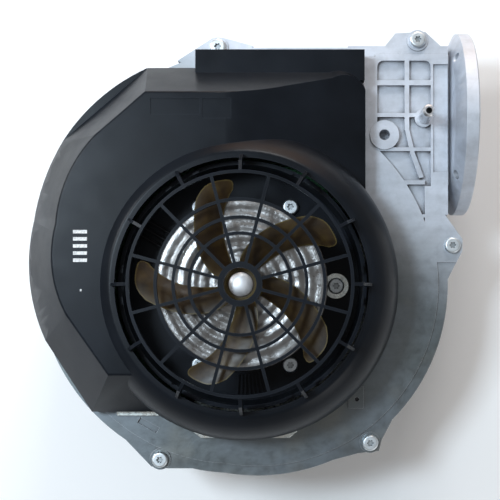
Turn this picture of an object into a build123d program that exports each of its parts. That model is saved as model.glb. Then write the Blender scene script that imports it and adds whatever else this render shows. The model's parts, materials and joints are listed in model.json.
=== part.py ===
from build123d import *
import math
import os

# Premix gas-boiler blower: a die-cast volute with a round side outlet, driven by an
# external-rotor motor under a plastic cover.  Millimetres.  +Z is the motor axis with the
# motor side up, +X is the way the outlet faces.  The origin is the centre of the intake face.

# ---- heights up the motor axis -------------------------------------------------------------
FLOOR_BOTTOM = 20.0
FLOOR_TOP = 24.0
NOZZLE_TOP = 30.0
GASKET_BOTTOM = 58.0
GASKET_TOP = 59.0
PLATE_BOTTOM = 65.0
PLATE_TOP = 70.0
BASE_PLATE_TOP = 72.0
TRAY_TOP = 75.0
BOARD_BOTTOM = 80.0
BOARD_TOP = 81.6
FACE_TOP = 108.0
LIP_TOP = 112.0
GUARD_TOP = 128.0

# ---- volute in plan ------------------------------------------------------------------------
IMPELLER_R = 74.0
SCROLL_R0 = 79.0
SCROLL_GROWTH = 34.0
SCROLL_TURN = 314.0
SCROLL_POWER = 1.73
TONGUE_ANGLE = 44.0
SCROLL_STEP = 15.7
CASING_WALL = 4.0
OUTLINE_MARGIN = 6.5
RIM_CENTRE = (6.0, 0.5)
RIM_R = 95.3
RIM_WIDTH = 4.8
RIM_DROP = 0.8
PLATE_END_X = 101.3
DUCT_TOP_Y = 113.0
DUCT_BOTTOM_Y = 55.4
OUTLINE_TOP_Y = 120.3
LUGS = [
    [(-34, 113), (-16.5, 124.2), (-11, 124.4), (4, 120.3), (-10, 100)],
    [(68, 118), (75, 126.6), (90, 127.4), (101.3, 117)],
    [(96, 41), (108.6, 23.5), (108.4, 17.5), (100, 1), (80, 20)],
    [(76, -62), (68.2, -77), (66.8, -82.4), (56.5, -83.6), (43, -87.2), (40, -60)],
    [(-78, -58), (-47.2, -90.2), (-38.5, -91.2), (-20, -91.2), (-30, -60)],
]

# ---- intake --------------------------------------------------------------------------------
INTAKE_R = 29.0
INTAKE_RING_R = 48.0
INTAKE_BOLT_PCD = 82.0
INTAKE_BOLT_R = 2.5
INTAKE_BOLT_DEPTH = 14.0
INTAKE_BOLTS = 4
INTAKE_SEAL_R = 33.5

# ---- outlet flange -------------------------------------------------------------------------
OUTLET_Y = 84.0
OUTLET_Z = 47.0
FLANGE_R = 46.5
FLANGE_BACK_R = 38.0
FLANGE_BACK_X = 103.0
FLANGE_CONE_X = 107.0
FLANGE_FACE_X = 113.3
OUTLET_PCD = 82.0
OUTLET_HOLE_R = 2.25
OUTLET_HOLES = 4
OUTLET_SEAL_R = 35.6
NECK_WALL = 4.0
NECK_TOP = 63.0
DUCT_CORNER_R = 8.0

# ---- top of the casing ---------------------------------------------------------------------
POCKET_X = (65.9, 92.7)
POCKET_Y = (28.0, 112.8)
POCKET_ARC_R = 95.3
POCKET_FLOOR = 67.5
RIB_TOP_DROP = 0.3
POCKET_RIBS_Y = [(100.5, 103.0), (84.6, 86.6), (67.6, 69.4)]
SPARE_BOSS = (69.5, 75.6)
SPARE_BOSS_R = 7.3
SPARE_HOLE_R = 2.7
SPARE_HOLE_BOTTOM = 63.0
TAP = (89.2, 84.2)
TAP_R = 3.0
TAP_HOLE_R = 1.5
TAP_STEM_R = 2.4
TAP_TOP = 90.0
TERMINAL_PAD = (51.5, 59.0, -61.0, -50.0)
TERMINAL_PAD_HEIGHT = 1.5
TERMINAL_PAD_HOLE = (55.6, -56.4)
TERMINAL_PAD_HOLE_R = 1.1
CAST_SLOT = (-48.5, -69.5)
CAST_SLOT_SIZE = (11.0, 3.0, 2.4)
CAST_SLOT_ANGLE = -29.0

# ---- fasteners -----------------------------------------------------------------------------
OPEN_SCREWS = [(-13.8, 119.3), (86.0, 122.9), (103.3, 20.4), (62.3, -78.1), (-42.6, -86.5)]
SUNK_SCREWS = [(-101.6, 8.0), (-73.0, 81.0)]
CASING_SCREWS = OPEN_SCREWS + SUNK_SCREWS
SINK = 3.0
SCREW_R = 2.0
SCREW_HEAD_R = 4.0
SCREW_HEAD_H = 2.6
SCREW_CLEAR_R = 2.25
BOSS_R = 5.2
BOSS_DEPTH = 14.0
MOTOR_SCREW_PITCH_R = 45.0
MOTOR_SCREWS = 6
EARTH_WASHER_R = 6.2
EARTH_WASHER_THICK = 0.8

# ---- motor ---------------------------------------------------------------------------------
SHAFT_R = 4.0
SHAFT_BOTTOM = 37.0
SHAFT_TOP = 119.5
TUBE_R = 13.0
TUBE_BOTTOM = 60.5
TUBE_TOP = 112.0
TUBE_THROAT_R = 9.6
BEARING_R = 11.0
BEARING_WIDTH = 7.0
LOWER_BEARING_Z = 63.0
UPPER_BEARING_Z = 104.0
BALL_R = 1.984
BALL_PITCH_R = 7.5
BALLS = 7
OUTER_GROOVE_R = 2.05
INNER_GROOVE_R = 2.0
HUB_BOSS_R = 20.0
HUB_BOSS_TOP = 76.0
STATOR_R = 33.4
STATOR_BOTTOM = 86.0
STATOR_TOP = 104.0
STATOR_YOKE_R = 19.0
SLOTS = 12
TOOTH_WIDTH = 3.6
TOOTH_TIP_DEPTH = 2.2
MAGNET_IN_R = 34.0
MAGNET_OUT_R = 37.6
MAGNETS = 8
CUP_R = 39.6
CUP_BOTTOM = 79.0
CUP_TOP = 115.5
CUP_SHEET = 1.5

LEAD_ANGLE = 150.0
LEAD_MID_R = 44.0
LEAD_LENGTH = 42.0
LEAD_R = 0.9
LEAD_Z = 77.6

# ---- cooling fan ---------------------------------------------------------------------------
FAN_BLADES = 5
FAN_TIP_R = 48.0
FAN_HUB_R = 10.0
FAN_HUB_TOP = 119.5
FAN_BLADE_THICK = 1.4
FAN_LEADING_EDGE = [(8.0, 68.0), (27.0, 36.0), (48.0, 11.0)]
FAN_TRAILING_EDGE = [(48.0, -12.0), (27.0, 6.0), (8.0, 12.0)]
FAN_FIRST_TIP = 30.0
FAN_PITCH = 11.0
CAP_R = 5.5
CAP_TOP = 121.2

# ---- impeller ------------------------------------------------------------------------------
SHROUD_Z = 27.0
SHEET = 1.2
BACKPLATE_Z = 55.0
EYE_R = 33.5
BLADES = 10
BLADE_IN_R = 38.0
BLADE_OUT_R = 73.0
HUB_R = 9.0
HUB_FLANGE_R = 20.0
RIVET_PITCH_R = 15.5
RIVET_R = 1.5

# ---- cover and guard -----------------------------------------------------------------------
COVER_WALL = 2.2
COVER_RIGHT_X = 59.0
COVER_FOOT = [(-47.8, 107.3), (-89.1, 71.9), (-98.4, 52.6), (-103.7, 32.0), (-106.0, 4.0),
              (-98.0, -27.0), (-75.2, -61.9)]
COVER_FACE = [(-44.9, 89.6), (-68.0, 69.6), (-80.0, 52.5), (-86.5, 28.0), (-88.0, 6.0),
              (-81.5, -14.0), (-62.0, -41.8)]
COVER_FOOT_CORNER = (98.0, (53.5, 105.4), 40.0)
COVER_FACE_CORNER = (84.0, (55.5, 88.2), 46.0)
BULGE = [(-47.8, 107.3), (-71.0, 92.6), (-89.1, 71.9)]
FACE_EDGE_R = 1.6
COVER_SKIRT_TOP = 78.0
DOME_R = 74.5
LIP_R = 60.4
LIP_IN_R = 58.6
GUARD_RINGS = [50.2, 37.8, 29.8, 22.7]
GUARD_HUB_R = 10.0
GUARD_HUB_IN_R = 7.4
GUARD_BAR = 1.4
GUARD_DEPTH = 2.4
SPOKES = 12
AIR_WALL_TOP = 103.0
CATCH_ANGLE = 7.5
CATCH_WIDTH = 3.4
CATCH_THICK = 1.0
CATCH_TOP = 105.5
TRAY_RIBS = 7
TRAY_RIB_ANGLE = -94.0
LABEL_RECESSES = [(-42.6, -19.6, 79.1, 86.6), (-18.6, -5.1, 77.3, 86.6)]
LABEL_DEPTH = 0.4
LEDGE = (-23.8, 58.6, 100.0, 115.0)
LEDGE_TOP = 84.0

# ---- electronics ---------------------------------------------------------------------------
BOARD_POSTS = [(-74, -38), (-90, 36), (-44, 84), (50, 75)]
BOARD_INSET = 7.0
BOARD_INNER_R = 60.5
CAPACITORS = [(-75, 37), (-78, 15)]
CAPACITOR_R = 8.5
CAPACITOR_TOP = 101.0
MAINS_X = (-18.0, 10.0)
SIGNAL_X = (20.0, 44.0)
SOCKET_Y = (86.0, 113.0)
SOCKET_Z = (70.2, 80.0)
SOCKET_WALL = 1.6
SOCKET_BACK = 10.0
POST_R = 3.2
POST_HOLE_R = 1.2
CHOKE_PLACE = (-58.0, 66.0)
CHOKE_R = 8.0
CHOKE_WIRE_R = 4.4
TRANSISTORS = [(-86.0, -18.0), (-78.0, -24.0), (-70.0, -30.0)]
TRANSISTOR_SIZE = (5.0, 10.0, 7.0)
CHIP_PLACE = (-26.0, 78.0)
CHIP_SIDE = 12.0
CHIP_THICK = 1.6
HALL_PLACE = (28.0, -3.0)
HALL_SIZE = (6.0, 6.0, 2.4)
CONTACT_LENGTH = 12.0
MAINS_CONTACTS = 3
MAINS_CONTACT_WIDTH = 4.8
SIGNAL_CONTACTS = 5
SIGNAL_CONTACT_WIDTH = 0.8
CONTACT_THICK = 0.8

nodes = {}


def polar(radius, degrees):
    """Point at a radius and angle in plan."""
    angle = math.radians(degrees)
    return (radius * math.cos(angle), radius * math.sin(angle))


def disc(radius, bottom, top, centre=(0, 0)):
    """Upright cylinder between two heights."""
    place = Pos(centre[0], centre[1], bottom)
    return place * Cylinder(radius, top - bottom, align=(Align.CENTER, Align.CENTER, Align.MIN))


def ring(outer, inner, bottom, top, centre=(0, 0)):
    """Upright tube between two heights."""
    return disc(outer, bottom, top, centre) - disc(inner, bottom, top, centre)


def block(x0, x1, y0, y1, z0, z1):
    """Box given by its six faces."""
    return Pos((x0 + x1) / 2, (y0 + y1) / 2, (z0 + z1) / 2) * Box(x1 - x0, y1 - y0, z1 - z0)


def rise(sketch, bottom, top):
    """Extrude a plan sketch between two heights."""
    return Pos(0, 0, bottom) * extrude(sketch, amount=top - bottom)


def lathe(points):
    """Revolve a closed (radius, height) outline about the motor axis."""
    outline = Polyline([(r, 0, z) for r, z in points], close=True)
    return revolve(make_face(outline), axis=Axis.Z)


def around(shape, count, first=0.0):
    """Copies of a shape spaced evenly about the motor axis."""
    return [Rot(0, 0, first + index * 360 / count) * shape for index in range(count)]


def keep(name, *shapes):
    """Store the solids of one node."""
    solids = []
    for shape in shapes:
        solids.extend(shape.solids())
    nodes[name] = Compound(children=solids) if len(solids) > 1 else solids[0]
    nodes[name].label = name


# ---- volute --------------------------------------------------------------------------------
def scroll_radius(turned):
    """Inner radius of the scroll at an angle turned clockwise from the tongue."""
    return SCROLL_R0 + SCROLL_GROWTH * (turned / SCROLL_TURN) ** SCROLL_POWER


def volute_plan(grow, end_x):
    """Plan of the air passage grown outward by a wall, with its duct ending at end_x."""
    steps = int(SCROLL_TURN / SCROLL_STEP)
    scroll = [polar(scroll_radius(i * SCROLL_STEP) + grow, TONGUE_ANGLE - i * SCROLL_STEP)
              for i in range(steps + 1)]
    curve = Spline(scroll)
    plan = make_face(curve + Polyline(curve @ 1, (0, 0), curve @ 0))
    plan += Circle(SCROLL_R0 + grow)
    duct_height = DUCT_TOP_Y - DUCT_BOTTOM_Y + 2 * grow
    plan += Pos(end_x / 2, (DUCT_TOP_Y + DUCT_BOTTOM_Y) / 2) * Rectangle(end_x, duct_height)
    return plan


def casing_plan():
    """Outline shared by both casings and the gasket, with its screw bosses."""
    plan = volute_plan(OUTLINE_MARGIN, PLATE_END_X)
    plan += Pos(*RIM_CENTRE) * Circle(RIM_R)
    plan += Pos(PLATE_END_X - 25, 78) * Rectangle(50, 2 * (OUTLINE_TOP_Y - 78))
    for corners in LUGS:
        plan += make_face(Polyline(corners, close=True))
    for x, y in CASING_SCREWS:
        plan += Pos(x, y) * Circle(BOSS_R)
    plan -= Pos(PLATE_END_X + 20, 95) * Rectangle(40, 100)
    return plan


def lower_casing():
    body = rise(volute_plan(CASING_WALL, PLATE_END_X), FLOOR_BOTTOM, GASKET_BOTTOM)
    body += rise(casing_plan(), GASKET_BOTTOM - 6, GASKET_BOTTOM)
    for x, y in CASING_SCREWS:
        body += disc(BOSS_R, GASKET_BOTTOM - BOSS_DEPTH, GASKET_BOTTOM, (x, y))
    body += disc(INTAKE_RING_R, 0, FLOOR_BOTTOM)
    for angle in range(0, 360, 45):
        body += Rot(0, 0, angle) * block(INTAKE_RING_R - 2, SCROLL_R0 + 1, -1.5, 1.5, 12, FLOOR_BOTTOM)
    body += block(PLATE_END_X - 6, FLANGE_BACK_X, DUCT_BOTTOM_Y - NECK_WALL,
                  DUCT_TOP_Y + NECK_WALL, FLOOR_BOTTOM, GASKET_BOTTOM)
    body += block(PLATE_END_X, FLANGE_BACK_X, DUCT_BOTTOM_Y - NECK_WALL,
                  DUCT_TOP_Y + NECK_WALL, FLOOR_BOTTOM, NECK_TOP)
    body += outlet_flange()
    body -= rise(volute_plan(0, PLATE_END_X - 8), FLOOR_TOP, GASKET_BOTTOM)
    body += disc(INTAKE_R + 2.5, FLOOR_BOTTOM, NOZZLE_TOP)
    body -= disc(INTAKE_R, 0, NOZZLE_TOP)
    duct_mid_z = (FLOOR_TOP + GASKET_BOTTOM) / 2
    duct = Box(40, DUCT_TOP_Y - DUCT_BOTTOM_Y, GASKET_BOTTOM - FLOOR_TOP)
    duct = fillet(duct.edges().filter_by(Axis.X), DUCT_CORNER_R)
    body -= Pos(PLATE_END_X, (DUCT_TOP_Y + DUCT_BOTTOM_Y) / 2, duct_mid_z) * duct
    for shape in around(disc(OUTLET_HOLE_R, -20, 20, (OUTLET_PCD / 2, 0)), OUTLET_HOLES, 45):
        body -= Pos(FLANGE_FACE_X, OUTLET_Y, OUTLET_Z) * Rot(0, 90, 0) * shape
    for x, y in CASING_SCREWS:
        body -= disc(SCREW_R, GASKET_BOTTOM - BOSS_DEPTH + 3, GASKET_BOTTOM, (x, y))
    bolt = disc(INTAKE_BOLT_R, 0, INTAKE_BOLT_DEPTH, (INTAKE_BOLT_PCD / 2, 0))
    for shape in around(bolt, INTAKE_BOLTS, 45):
        body -= shape
    body -= ring(INTAKE_SEAL_R + 1.3, INTAKE_SEAL_R - 1.3, 0, 2.0)
    keep("lower_casing", body)


def outlet_flange():
    """Round flange disc with a conical back and a seal groove, about the outlet axis."""
    profile = Polyline((0, FLANGE_BACK_X), (FLANGE_BACK_R, FLANGE_BACK_X),
                       (FLANGE_R, FLANGE_CONE_X), (FLANGE_R, FLANGE_FACE_X - 0.6),
                       (FLANGE_R - 0.6, FLANGE_FACE_X), (0, FLANGE_FACE_X), close=True)
    spun = revolve(Plane.XZ * make_face(profile), axis=Axis.Z)
    spun -= ring(OUTLET_SEAL_R + 1.2, OUTLET_SEAL_R - 1.2, FLANGE_FACE_X - 2.0, FLANGE_FACE_X)
    return Pos(0, OUTLET_Y, OUTLET_Z) * Rot(0, 90, 0) * spun


def casing_gasket():
    body = rise(casing_plan() - volute_plan(1.5, PLATE_END_X - 4), GASKET_BOTTOM, GASKET_TOP)
    for x, y in CASING_SCREWS:
        body -= disc(SCREW_CLEAR_R, GASKET_BOTTOM, GASKET_TOP, (x, y))
    keep("casing_gasket", body)


def seals():
    outlet = Pos(FLANGE_FACE_X - 1.05, OUTLET_Y, OUTLET_Z) * Rot(0, 90, 0) * Torus(OUTLET_SEAL_R, 0.9)
    keep("outlet_seal", outlet)
    keep("intake_seal", Pos(0, 0, 1.0) * Torus(INTAKE_SEAL_R, 0.95))


# ---- upper casing --------------------------------------------------------------------------
def pocket_plan():
    """Plan of the recesses between the ribs near the outlet."""
    width = POCKET_X[1] - POCKET_X[0]
    height = POCKET_Y[1] - POCKET_Y[0]
    area = Pos(sum(POCKET_X) / 2, sum(POCKET_Y) / 2) * RectangleRounded(width, height, 3.0)
    area -= Circle(POCKET_ARC_R)
    area -= Pos(POCKET_X[1], 37) * Rectangle(6, 26)
    for low, high in POCKET_RIBS_Y:
        area -= Pos(80, (low + high) / 2) * Rectangle(40, high - low)
    area -= Pos(84.5, 51.9) * Rectangle(10.5, 2.0)
    area -= Pos(90, 35.1) * Rectangle(8, 1.6)
    area -= Pos(80.75, 96) * Rectangle(2.3, 36)
    brace = Polyline((79.6, 79), (82, 78), (84.6, 67), (89.2, 54.5), (86.8, 54), (82.4, 66.5), close=True)
    area -= make_face(brace)
    area -= Pos(*SPARE_BOSS) * Circle(SPARE_BOSS_R)
    area -= Pos(*TAP) * Circle(TAP_R + 1.6)
    return area


def upper_casing():
    outline = casing_plan()
    body = rise(outline - volute_plan(0, PLATE_END_X - 4), GASKET_TOP, PLATE_BOTTOM)
    body += rise(outline, PLATE_BOTTOM, PLATE_TOP - RIM_DROP)
    plateau = Pos(*RIM_CENTRE) * Circle(RIM_R - RIM_WIDTH)
    plateau += volute_plan(OUTLINE_MARGIN - RIM_WIDTH, PLATE_END_X - RIM_WIDTH)
    plateau += Pos(90, 64) * Rectangle(50, 104)
    for x, y in CASING_SCREWS:
        plateau += Pos(x, y) * Circle(BOSS_R)
    body += rise(outline & plateau, PLATE_TOP - RIM_DROP, PLATE_TOP)
    body -= rise(pocket_plan(), POCKET_FLOOR, PLATE_TOP)
    body -= block(93.9, PLATE_END_X + 1, 57, 111, PLATE_TOP - 1.2, PLATE_TOP)
    body += disc(SPARE_BOSS_R, PLATE_BOTTOM - 3, PLATE_TOP + 0.8, SPARE_BOSS)
    body -= disc(SPARE_HOLE_R, SPARE_HOLE_BOTTOM, PLATE_TOP + 1, SPARE_BOSS)
    body += disc(HUB_BOSS_R, PLATE_BOTTOM - 3, HUB_BOSS_TOP)
    body -= disc(TUBE_R, PLATE_BOTTOM - 5, HUB_BOSS_TOP)
    body += block(*TERMINAL_PAD, PLATE_TOP, PLATE_TOP + TERMINAL_PAD_HEIGHT) - disc(DOME_R + 0.6, 0, LIP_TOP)
    body -= disc(TERMINAL_PAD_HOLE_R, PLATE_TOP - 2, LIP_TOP, TERMINAL_PAD_HOLE)
    body -= Pos(*CAST_SLOT, PLATE_TOP) * Rot(0, 0, CAST_SLOT_ANGLE) * Box(*CAST_SLOT_SIZE)
    body -= disc(TAP_STEM_R, PLATE_BOTTOM - 5, PLATE_TOP, TAP)
    for x, y in CASING_SCREWS:
        body -= disc(SCREW_CLEAR_R, GASKET_TOP, PLATE_TOP, (x, y))
    for x, y in SUNK_SCREWS:
        body -= disc(SCREW_HEAD_R + 0.4, PLATE_TOP - SINK, PLATE_TOP, (x, y))
    for x, y in motor_screw_places():
        body -= disc(SCREW_R, PLATE_BOTTOM + 0.5, PLATE_TOP, (x, y))
    keep("upper_casing", body)


def motor_screw_places():
    return [polar(MOTOR_SCREW_PITCH_R, i * 360 / MOTOR_SCREWS) for i in range(MOTOR_SCREWS)]


def pan_screw(head_bottom, shank_bottom, centre):
    """Pan-head screw with a six-lobed recess."""
    head = disc(SCREW_HEAD_R, head_bottom, head_bottom + SCREW_HEAD_H, centre)
    head = fillet(head.edges().sort_by(Axis.Z)[-1:], 1.1)
    lobe_ring = 1.25
    recess = disc(lobe_ring, head_bottom + 1.1, head_bottom + 4)
    for lobe in around(disc(0.42, head_bottom + 1.1, head_bottom + 4, (lobe_ring, 0)), 6):
        recess += lobe
    head -= Pos(centre[0], centre[1], 0) * recess
    return head + disc(SCREW_R, shank_bottom, head_bottom, centre)


def screws():
    casing = [pan_screw(PLATE_TOP, GASKET_BOTTOM - 10, place) for place in OPEN_SCREWS]
    casing += [pan_screw(PLATE_TOP - SINK, GASKET_BOTTOM - 10, place) for place in SUNK_SCREWS]
    keep("casing_screws", *casing)
    mount = []
    for index, place in enumerate(motor_screw_places()):
        seat = TRAY_TOP + (EARTH_WASHER_THICK if index == 0 else 0)
        mount.append(pan_screw(seat, PLATE_BOTTOM + 1, place))
    keep("motor_mount_screws", *mount)
    washer = ring(EARTH_WASHER_R, SCREW_R, TRAY_TOP, TRAY_TOP + EARTH_WASHER_THICK,
                  (MOTOR_SCREW_PITCH_R, 0))
    keep("earth_washer", washer)


def pressure_tap():
    body = disc(TAP_STEM_R, PLATE_BOTTOM, PLATE_TOP, TAP)
    spout = disc(TAP_R, PLATE_TOP, TAP_TOP, TAP)
    body += chamfer(spout.edges().sort_by(Axis.Z)[-1:], 0.8)
    body -= disc(TAP_HOLE_R, PLATE_BOTTOM, TAP_TOP, TAP)
    keep("pressure_tap", body)


# ---- shaft line ----------------------------------------------------------------------------
def bearing_tube():
    low_seat = LOWER_BEARING_Z + BEARING_WIDTH
    body = ring(TUBE_R, TUBE_THROAT_R, TUBE_BOTTOM, TUBE_TOP)
    body -= disc(BEARING_R, TUBE_BOTTOM, low_seat)
    body -= disc(BEARING_R, UPPER_BEARING_Z - 3, TUBE_TOP)
    body -= ring(BEARING_R + 0.9, BEARING_R - 1, LOWER_BEARING_Z - 1.3, LOWER_BEARING_Z)
    keep("bearing_tube", body)
    clip = ring(BEARING_R + 0.8, 9.3, LOWER_BEARING_Z - 1.2, LOWER_BEARING_Z)
    keep("retaining_ring", clip - block(-2, 2, -20, -5, 0, 200))
    spring_bottom = UPPER_BEARING_Z - 3
    wave = ring(BEARING_R - 0.2, TUBE_THROAT_R + 0.2, spring_bottom, UPPER_BEARING_Z)
    for index in range(3):
        notch = Pos(0, 0, spring_bottom) * Rot(0, 0, index * 120) * Rot(0, 90, 0) * Cylinder(1.1, 60)
        wave -= notch
        wave -= Pos(0, 0, 3) * Rot(0, 0, 60) * notch
    keep("wave_spring", wave)


def bearing(name, bottom):
    middle = bottom + BEARING_WIDTH / 2
    top = bottom + BEARING_WIDTH
    outer = ring(BEARING_R, 9.0, bottom, top) - Pos(0, 0, middle) * Torus(BALL_PITCH_R, OUTER_GROOVE_R)
    inner = ring(6.0, SHAFT_R, bottom, top) - Pos(0, 0, middle) * Torus(BALL_PITCH_R, INNER_GROOVE_R)
    keep(name + "_outer_race", outer)
    keep(name + "_inner_race", inner)
    keep(name + "_balls", *around(Pos(BALL_PITCH_R, 0, middle) * Sphere(BALL_R), BALLS))


def shaft():
    body = disc(SHAFT_R, SHAFT_BOTTOM, SHAFT_TOP)
    keep("shaft", chamfer(body.edges().filter_by(GeomType.CIRCLE), 0.5))


# ---- motor ---------------------------------------------------------------------------------
def tooth_angles():
    return [(i + 0.5) * 360 / SLOTS for i in range(SLOTS)]


def stator():
    core = ring(STATOR_YOKE_R, TUBE_R, STATOR_BOTTOM, STATOR_TOP)
    tip = ring(STATOR_R, STATOR_R - TOOTH_TIP_DEPTH, STATOR_BOTTOM, STATOR_TOP)
    tooth = block(STATOR_YOKE_R - 1, STATOR_R - 1, -TOOTH_WIDTH / 2, TOOTH_WIDTH / 2,
                  STATOR_BOTTOM, STATOR_TOP)
    gap = block(STATOR_R - 4, STATOR_R + 4, -1.2, 1.2, STATOR_BOTTOM, STATOR_TOP)
    for angle in tooth_angles():
        core += Rot(0, 0, angle) * tooth
        tip -= Rot(0, 0, angle + 180 / SLOTS) * gap
    keep("stator_core", core + tip)
    caps = []
    for bottom in (STATOR_BOTTOM - 1.5, STATOR_TOP):
        cap = ring(STATOR_YOKE_R, TUBE_R, bottom, bottom + 1.5)
        arm = block(STATOR_YOKE_R - 1, STATOR_R - 0.8, -TOOTH_WIDTH / 2, TOOTH_WIDTH / 2,
                    bottom, bottom + 1.5)
        for angle in tooth_angles():
            cap += Rot(0, 0, angle) * arm
        caps.append(cap)
    keep("stator_insulators", *caps)
    coil_in = STATOR_YOKE_R + 0.5
    coil_out = STATOR_R - TOOTH_TIP_DEPTH - 0.4
    low = STATOR_BOTTOM - 1.5
    high = STATOR_TOP + 1.5
    thick = 2.0
    half = TOOTH_WIDTH / 2
    coil = block(coil_in, coil_out, -half - thick, half + thick, low - thick, high + thick)
    coil = fillet(coil.edges().filter_by(Axis.X), 1.2)
    coil -= block(coil_in - 1, coil_out + 1, -half - 0.05, half + 0.05, low, high)
    wedge = Polyline((0, 0), polar(60, 14.6), (60, 0), polar(60, -14.6), close=True)
    coil = coil & rise(make_face(wedge), 0, LIP_TOP)
    keep("stator_coils", *[Rot(0, 0, angle) * coil for angle in tooth_angles()])
    leads = []
    for y in (-4, 0, 4):
        lead = Pos(LEAD_MID_R, y, LEAD_Z) * Rot(0, 90, 0) * Cylinder(LEAD_R, LEAD_LENGTH)
        leads.append(Rot(0, 0, LEAD_ANGLE) * lead)
    keep("stator_leads", *leads)


def rotor_cup():
    shell = lathe([(SHAFT_R, 113), (SHAFT_R, CUP_TOP), (28, CUP_TOP), (29, CUP_TOP - 0.9),
                   (34, CUP_TOP - 0.9), (35, CUP_TOP), (CUP_R - 2, CUP_TOP), (CUP_R, CUP_TOP - 2),
                   (CUP_R, CUP_BOTTOM), (MAGNET_OUT_R, CUP_BOTTOM), (MAGNET_OUT_R, CUP_TOP - 2.6),
                   (29, CUP_TOP - 2.6), (28, CUP_TOP - CUP_SHEET), (9, CUP_TOP - CUP_SHEET), (9, 113)])
    shell += ring(5.8, SHAFT_R, UPPER_BEARING_Z + BEARING_WIDTH, 113)
    keep("rotor_cup", shell)
    arc = 360 / MAGNETS
    magnet = ring(MAGNET_OUT_R, MAGNET_IN_R, STATOR_BOTTOM - 2, STATOR_TOP + 2)
    wedge = Polyline((0, 0), polar(60, arc / 2 - 1), (64, 0), polar(60, 1 - arc / 2), close=True)
    magnet = magnet & rise(make_face(wedge), 0, LIP_TOP)
    keep("rotor_magnets", *around(magnet, MAGNETS))


def cooling_fan():
    hub = ring(FAN_HUB_R, SHAFT_R, CUP_TOP, FAN_HUB_TOP)
    blade_mid = (CUP_TOP + FAN_HUB_TOP) / 2 + 1.9
    lead = [polar(r, angle) for r, angle in FAN_LEADING_EDGE]
    trail = [polar(r, angle) for r, angle in FAN_TRAILING_EDGE]
    edge_in = ThreePointArc(*lead)
    edge_tip = ThreePointArc(lead[-1], polar(FAN_TIP_R, 0), trail[0])
    edge_out = ThreePointArc(*trail)
    plan = make_face(edge_in + edge_tip + edge_out + Line(edge_out @ 1, edge_in @ 0))
    flat = Pos(0, 0, -FAN_BLADE_THICK / 2) * extrude(plan, amount=FAN_BLADE_THICK)
    blade = Pos(0, 0, blade_mid) * Rot(FAN_PITCH, 0, 0) * flat
    blade -= disc(FAN_HUB_R - 1, 0, LIP_TOP * 2)
    for shape in around(blade, FAN_BLADES, FAN_FIRST_TIP):
        hub += shape
    hub -= disc(FAN_TIP_R * 2, 0, CUP_TOP + 0.3) - disc(FAN_HUB_R, 0, LIP_TOP * 2)
    keep("cooling_fan", hub)
    cap = disc(CAP_R, SHAFT_TOP, CAP_TOP)
    keep("shaft_cap", fillet(cap.edges().sort_by(Axis.Z)[-1:], 0.8))


# ---- impeller ------------------------------------------------------------------------------
def impeller():
    hub = ring(HUB_R, SHAFT_R, 44, 59) + ring(HUB_FLANGE_R, SHAFT_R, BACKPLATE_Z - 3, BACKPLATE_Z)
    hub += ring(5.8, SHAFT_R, 59, LOWER_BEARING_Z)
    plate = ring(IMPELLER_R, HUB_R, BACKPLATE_Z, BACKPLATE_Z + SHEET)
    rivets = []
    for angle in range(0, 360, 60):
        place = polar(RIVET_PITCH_R, angle)
        hole = disc(RIVET_R, BACKPLATE_Z - 3, BACKPLATE_Z + SHEET, place)
        hub -= hole
        plate -= hole
        heads = disc(2.8, BACKPLATE_Z - 4, BACKPLATE_Z - 3, place)
        heads += disc(2.6, BACKPLATE_Z + SHEET, BACKPLATE_Z + SHEET + 0.9, place)
        rivets.append(hole + heads)
    keep("impeller_hub", hub)
    keep("impeller_backplate", plate)
    keep("impeller_rivets", *rivets)
    shroud = lathe([(EYE_R, SHROUD_Z), (EYE_R + SHEET, SHROUD_Z), (EYE_R + SHEET + 2, SHROUD_Z + 1.6),
                    (IMPELLER_R, SHROUD_Z + 7.6), (IMPELLER_R, SHROUD_Z + 8.8),
                    (EYE_R + 2.6, SHROUD_Z + 2.8), (EYE_R, SHROUD_Z + 0.6)])
    keep("impeller_shroud", shroud)
    outer = ThreePointArc(polar(BLADE_IN_R, 0), polar(57, -12), polar(BLADE_OUT_R, -38))
    inner = ThreePointArc(polar(BLADE_OUT_R, -38.8), polar(56, -12.4), polar(BLADE_IN_R, -1.5))
    plan = make_face(outer + Line(outer @ 1, inner @ 0) + inner + Line(inner @ 1, outer @ 0))
    blade = rise(plan, SHROUD_Z + 1, BACKPLATE_Z)
    under = lathe([(20, 0), (IMPELLER_R + 9, 0), (IMPELLER_R + 9, SHROUD_Z + 10.4),
                   (EYE_R + 2.6, SHROUD_Z + 2.95), (20, SHROUD_Z + 2.95)])
    keep("impeller_blades", *around(blade - under, BLADES))
    nut = extrude(RegularPolygon(7.5, 6), amount=6)
    nut = Pos(0, 0, 38) * nut - disc(SHAFT_R, 0, 60)
    keep("impeller_nut", nut)
    keep("balance_clip", block(BLADE_OUT_R - 9, BLADE_OUT_R - 3, -3, 3, BACKPLATE_Z + SHEET,
                               BACKPLATE_Z + SHEET + 1.2))


# ---- motor side ----------------------------------------------------------------------------
def base_plate_plan():
    """Pressed steel plate between the casing and the motor."""
    plan = make_face(Polyline((-22, -75.6), (22, -75.6), (42, -58), (60, -30), (60, 30), (42, 56),
                              (-42, 56), (-64, 38), (-64, -64.5), (-37, -64.5), close=True))
    return plan - Circle(HUB_BOSS_R + 0.4)


def motor_base_plate():
    body = rise(base_plate_plan(), PLATE_TOP, BASE_PLATE_TOP)
    for x, y in motor_screw_places():
        body -= disc(SCREW_R, PLATE_TOP, BASE_PLATE_TOP, (x, y))
    keep("motor_base_plate", body)


def cover_foot():
    """Foot of the electronics cover, which bulges past the straight upper-left edge."""
    return cover_plan(COVER_FOOT, COVER_FOOT_CORNER, ThreePointArc(*BULGE))


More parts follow.
